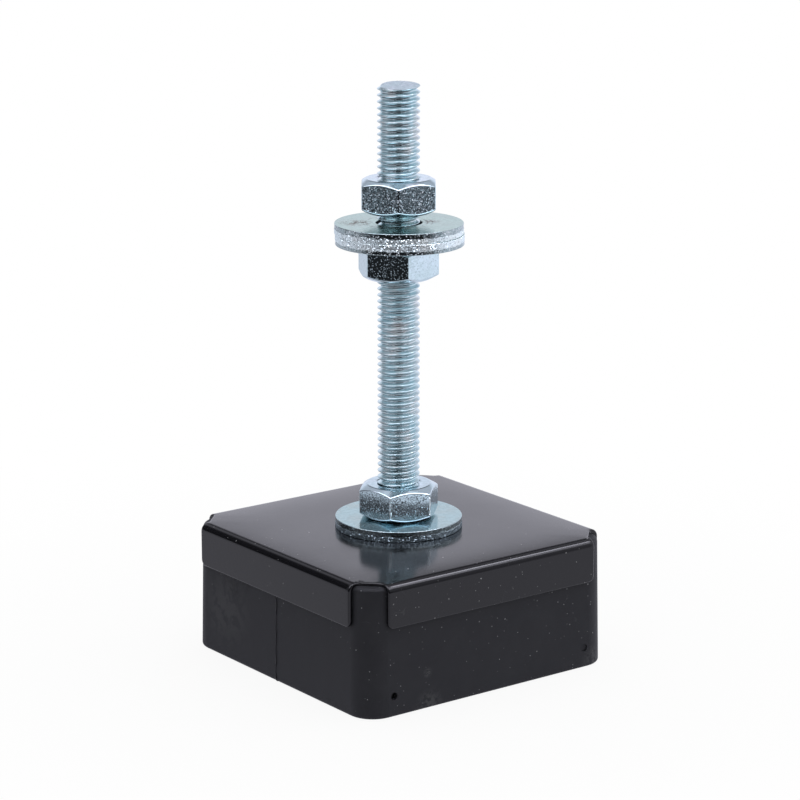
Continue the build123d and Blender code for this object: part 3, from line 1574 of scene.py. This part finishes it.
        for offset in (-half, half):
            piece.cut(touching(wall()), along(1, offset), along(1))
        for step in range(1, self.seam_steps + 1):
            piece.cut(touching(strip()), along(2, self.seam_top * step / self.seam_steps), UP)
        ridge = [f for f in strip() if f.calc_center_median().z < self.seam_top]
        lifted = bmesh.ops.extrude_face_region(piece.bm, geom=ridge)
        bmesh.ops.delete(piece.bm, geom=ridge, context="FACES_ONLY")
        for vert in only(BMVert, lifted["geom"]):
            worn = self.seam_wear * (1 - wander(vert.co, 1.6 * MM, 5.0 + side))
            vert.co.x += side * self.seam_height * (1 - worn)
            sway = self.seam_wave * wander(vert.co, 1.8 * MM, 9.0)
            vert.co.y += sway - math.copysign(self.seam_taper, vert.co.y)

    def press_pin(self, piece: Workpiece, place: Vector) -> None:
        """Press one pin mark into the front.

        Args:
            piece: The block.
            place: The mark's middle along X and Z, with its depth as Y.
        """
        reach, far = 1.7 * self.pin, 60 * MM

        def front(around: float) -> list:
            """List the faces of the front whose middle lies less than this far around the mark."""
            faces = [(f, f.calc_center_median()) for f in piece.bm.faces if f.normal.y < -0.99]
            return [f for f, at in faces if abs(at.x - place.x) < around and abs(at.z - place.z) < around]

        for axis in (0, 2):
            for way in (-1, 1):
                piece.cut(touching(front(far)), along(axis, place[axis] + way * reach), along(axis))
        patch = next(f for f in front(0.5 * reach) if f.calc_area() < 5 * reach * reach)
        bmesh.ops.inset_region(piece.bm, faces=[patch], thickness=reach * 0.3, use_even_offset=True)
        bmesh.ops.subdivide_edges(piece.bm, edges=patch.edges[:], cuts=5)
        for vert in patch.verts:
            arm = Vector((vert.co.x - place.x, 0.0, vert.co.z - place.z)).normalized() * self.pin
            vert.co.x, vert.co.z = place.x + arm.x, place.z + arm.z
        sunk = bmesh.ops.extrude_discrete_faces(piece.bm, faces=[patch])["faces"][0]
        bmesh.ops.translate(piece.bm, vec=(0, place.y, 0), verts=sunk.verts)


# Studio


@dataclass(frozen=True)
class RoomPart:
    """A part of the room that reflections show darker or brighter than the rest.

    Attributes:
        change: The light that it adds, or the share of the light that it takes if negative.
        fades: Each a measure of direction, where the part begins and where it is whole.
    """

    change: float
    fades: tuple[tuple[str, float, float], ...]

    def show(self, board: Board, room: Socket, measures: dict[str, Socket]) -> Socket:
        """Show the part in the room.

        Args:
            board: The world's board.
            room: The room's brightness without it.
            measures: The measures of direction by name.

        Returns:
            The brightness with it.
        """
        mask = board.times(*(board.ramp(measures[name], *fade) for name, *fade in self.fades))
        if self.change < 0:
            return board.times(room, board.plus(1.0, mask, self.change))
        return board.plus(room, mask, self.change)


DOORWAY = RoomPart(-0.9, (("height", 0.70, 0.60), ("right", -0.62, -0.78), ("facing", -0.1, -0.22)))
DARK_FRONT = RoomPart(-0.5, (("facing", 0.0, 0.22), ("height", 0.60, 0.45)))
GAP_BEHIND = RoomPart(-0.8, (("height", 0.33, 0.45), ("height", 0.82, 0.72), ("facing", -0.90, -0.97)))
CEILING_STRIP = RoomPart(7.0, (("height", 0.82, 0.88), ("height", 0.97, 0.93), ("facing", 0.5, 0.8)))
FRONT_BAND = RoomPart(
    3.2, (("height", 0.54, 0.62), ("height", 0.86, 0.80), ("facing", 0.97, 0.93), ("facing", -0.1, 0.0))
)


@dataclass
class Studio:
    """A plain pale floor, soft light, and the camera of the photograph.

    Attributes:
        azimuth: Direction from which the camera looks, in degrees from -Y towards -X.
        pitch: How far it looks down, in degrees.
        distance: From the camera to the point that it looks at.
        lens: Focal length in millimetres, on a sensor 36 mm wide.
        aim_right: Shift of that point along the camera's right.
        aim_height: Height of that point.
        even_light: How bright the light on all pieces is from the right and from the left.
        room_tint: Colour of the room in reflections.
        floor_tint: Colour of the floor in reflections.
        table_front: From the mount to the table's edge on the camera's side, as reflections show it.
        softbox_level: How bright the brightest lamp is in reflections, where 1 is white paper.
        softbox_place: Where that lamp hangs, in degrees round from the camera's side and up.
    """

    azimuth: float = 36.92
    pitch: float = 14.13
    distance: float = 0.687
    lens: float = 132.30
    aim_right: float = 0.32 * MM
    aim_height: float = 61.91 * MM
    even_light: tuple[float, float] = (0.78, 0.50)
    room_tint: Colour = (1.13, 1.13, 1.28)
    floor_tint: Colour = (1.0, 1.0, 1.13)
    table_front: float = 0.21
    softbox_level: float = 9.0
    softbox_place: tuple[float, float] = (104.0, 51.0)

    def build(self) -> None:
        """Set up camera, world, floor and lamps."""
        self.set_camera()
        self.set_world()
        self.lay_floor()
        self.hang_lamp("overhead_lamp", Vector((0.05, 0.10, 0.95)), 0.9, 1.15)
        self.hang_lamp("right_lamp", Vector((0.62, -0.30, 0.80)), 0.35, 1.4)
        bpy.context.scene.view_settings.view_transform = "Standard"

    def toward_camera(self) -> Vector:
        """Give the level direction from the mount to the camera."""
        angle = math.radians(self.azimuth)
        return Vector((-math.sin(angle), -math.cos(angle), 0.0))

    def camera_right(self) -> Vector:
        """Give the level direction to the camera's right."""
        return UP.cross(self.toward_camera())

    def set_camera(self) -> None:
        """Place the camera where the photograph was taken from."""
        azimuth, pitch = math.radians(self.azimuth), math.radians(self.pitch)
        forward = Vector(
            (math.sin(azimuth) * math.cos(pitch), math.cos(azimuth) * math.cos(pitch), -math.sin(pitch))
        )
        data = bpy.data.cameras.new("camera")
        data.lens, data.sensor_width = self.lens, 36.0
        data.clip_start, data.clip_end = 0.02, 20.0
        camera = place_object("camera", data)
        aim = self.camera_right() * self.aim_right + UP * self.aim_height
        turn_object(camera, aim - forward * self.distance, forward)
        bpy.context.scene.camera = camera

    def set_world(self) -> None:
        """Light the scene evenly. Only reflections show the room, and the camera sees white paper."""
        world = bpy.data.worlds.new("studio")
        bpy.context.scene.world = world
        board = empty_board(world)
        path = board.add("ShaderNodeLightPath").outputs
        ray = board.add("ShaderNodeTexCoord").outputs["Generated"]
        leftward = board.vector("DOT_PRODUCT", ray, tuple(-self.camera_right()))
        even = board.ramp(leftward, -1.0, 1.0, *self.even_light)
        level = board.blend(path["Is Glossy Ray"], even, self.reflected_room(board, ray))
        level = board.blend(path["Is Camera Ray"], level, 1.0)
        tint = board.mix(path["Is Glossy Ray"], WHITE, self.room_tint)
        light = board.add("ShaderNodeBackground", {"Color": tint, "Strength": level})
        board.add("ShaderNodeOutputWorld", {"Surface": light.outputs[0]})

    def reflected_room(self, board: Board, ray: Socket) -> Socket:
        """Lay out the room as reflections show it.

        White paper stands low behind the mount, pale walls and soft lights are beside and above it,
        and only the side where the camera stands is dark.

        Args:
            board: The world's board.
            ray: The direction of the light.

        Returns:
            The brightness in each direction, where 1 is white paper.
        """
        height = board.add("ShaderNodeSeparateXYZ", {"Vector": ray}).outputs["Z"]
        level = board.vector("NORMALIZE", board.vector("MULTIPLY", ray, (1, 1, 0)))
        facing = board.vector("DOT_PRODUCT", level, tuple(self.toward_camera()))
        right = board.vector("DOT_PRODUCT", level, tuple(self.camera_right()))
        paper = board.times(
            board.ramp(height, 0.31, 0.46, 1.0, 0.6), board.ramp(facing, -0.5, -0.2, 1.0, 0.0)
        )
        low_wall = board.plus(board.ramp(right, -0.8, 0.8, 0.35, 0.95), board.ramp(facing, 0.2, 0.5), 0.45)
        wall = board.blend(board.ramp(height, 0.25, 0.6), low_wall, 0.95)
        behind_camera = board.ramp(facing, 0.72, 0.95, 1.0, 0.12)
        table = board.math("MAXIMUM", board.ramp(height, 0.10, 0.20), board.ramp(facing, 0.1, 0.6, 1.0, 0.05))
        beside = board.times(wall, behind_camera, table, board.ramp(facing, -0.6, -0.3))
        above = board.times(board.ramp(height, 0.80, 0.92), 0.9)
        room = board.math("MAXIMUM", board.math("MAXIMUM", paper, beside), above)
        measures = {"height": height, "facing": facing, "right": right}
        for part in (DOORWAY, DARK_FRONT, GAP_BEHIND, CEILING_STRIP, FRONT_BAND):
            room = part.show(board, room, measures)
        near_softbox = board.vector("DOT_PRODUCT", ray, self.softbox())
        return board.plus(room, board.ramp(near_softbox, 0.991, 0.998), self.softbox_level)

    def softbox(self) -> tuple[float, float, float]:
        """Give the direction of the brightest lamp, high on the right.

        Returns:
            The direction.
        """
        azimuth, elevation = (math.radians(angle) for angle in self.softbox_place)
        flat = self.toward_camera() * math.cos(azimuth) + self.camera_right() * math.sin(azimuth)
        return tuple(flat * math.cos(elevation) + UP * math.sin(elevation))

    def lay_floor(self) -> None:
        """Lay the pale floor."""
        shape = bmesh.new()
        bmesh.ops.create_grid(shape, x_segments=1, y_segments=1, size=6.0)
        mesh = bpy.data.meshes.new("floor")
        shape.to_mesh(mesh)
        shape.free()
        mesh.materials.append(self.floor_material())
        place_object("floor", mesh)

    def floor_material(self) -> bpy.types.Material:
        """Give the floor's material, which turns to plain white away from the mount.

        Reflections show it bluish, dimmer on the left, and dark beyond the table's edge.

        Returns:
            The material.
        """
        material = bpy.data.materials.new("pale_floor")
        board = empty_board(material)
        place = board.place()
        path = board.add("ShaderNodeLightPath").outputs
        away = board.vector("LENGTH", place)
        dimmer = board.ramp(
            board.vector("DOT_PRODUCT", place, tuple(-self.camera_right())), 0.0, 0.08, 1.0, 0.76
        )
        facing = board.vector(
            "DOT_PRODUCT", board.vector("NORMALIZE", place), tuple(self.toward_camera())
        )
        beyond = board.times(
            board.ramp(away, 0.9 * self.table_front, 1.1 * self.table_front), 0.98,
            board.ramp(facing, 0.05, 0.62),
        )
        reflected = board.times(dimmer, board.math("SUBTRACT", 1.0, beyond))
        strength = board.math("MAXIMUM", board.math("SUBTRACT", 1.0, path["Is Glossy Ray"]), reflected)
        tint = board.mix(path["Is Glossy Ray"], WHITE, self.floor_tint)
        white = board.add("ShaderNodeEmission", {"Color": tint, "Strength": strength})
        paper = board.add("ShaderNodeBsdfDiffuse", {"Color": (0.9, 0.9, 0.9, 1)})
        seen = board.math("MAXIMUM", path["Is Camera Ray"], path["Is Glossy Ray"])
        share = board.times(board.ramp(away, 0.04, 0.20, 0.91, 1.0), seen)
        surface = board.add("ShaderNodeMixShader", {0: share, 1: paper.outputs[0], 2: white.outputs[0]})
        board.add("ShaderNodeOutputMaterial", {"Surface": surface.outputs[0]})
        return material

    @staticmethod
    def hang_lamp(name: str, at: Vector, size: float, radiance: float) -> None:
        """Hang one square lamp that faces the mount and makes soft shadows.

        Args:
            name: Its name.
            at: Its place.
            size: Its width.
            radiance: How bright its face is, where 1 is white paper.
        """
        data = bpy.data.lights.new(name, "AREA")
        data.size = size
        data.energy = radiance * math.pi * size * size
        lamp = place_object(name, data)
        turn_object(lamp, at, UP * 0.06 - at)
        lamp.visible_glossy = False


def place_object(name: str, data: bpy.types.ID) -> bpy.types.Object:
    """Put a mesh, camera or lamp into the scene as an object.

    Args:
        name: The object's name.
        data: The mesh, camera or lamp.

    Returns:
        The object.
    """
    made = bpy.data.objects.new(name, data)
    bpy.context.scene.collection.objects.link(made)
    return made


def turn_object(made: bpy.types.Object, at: Vector, forward: Vector) -> None:
    """Place a camera or lamp and point it.

    Args:
        made: The camera or lamp.
        at: Its place.
        forward: The direction that it faces.
    """
    made.location = at
    made.rotation_mode = "QUATERNION"
    made.rotation_quaternion = forward.to_track_quat("-Z", "Y")


def main() -> None:
    """Dress the mount, piece by piece, and set up the studio."""
    logging.basicConfig(level=logging.INFO, format="%(name)s: %(message)s")
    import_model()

    Studio().build()
    RubberBlock().build()
    FoldedCap().build()
    ThreadedStud().build()
    HexagonNut("inner_nut", "frame", 0.0, SMOOTHER_FLAT).build()
    LargeWasher("base_washer", "frame", tint=(0.49, 0.63, 0.68), torn=DARK_BROKEN_RIM).build()
    HexagonNut("base_nut", "frame", 42.0, SMOOTHER_FLAT, painted_corner_highlight=True).build()
    HexagonNut("levelling_nut", "level_nut", 5.5, SMOOTHEST_FLAT).build()
    LargeWasher("lower_washer", "load_washers", flipped=True, shift=0.28 * MM, broken_share=0.62).build()
    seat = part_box("upper_washer")[1].z
    stains = (
        Stain((-8.3 * MM, 5.2 * MM, seat), 4.8 * MM, 0.9),
        Stain((6.5 * MM, -3.4 * MM, seat), 3.0 * MM, 0.6),
    )
    LargeWasher("upper_washer", "load_washers", stains=stains, shift=0.1 * MM).build()
    HexagonNut("lock_nut", "locking_nut", 53.0).build()


if __name__ == "__main__":
    main()
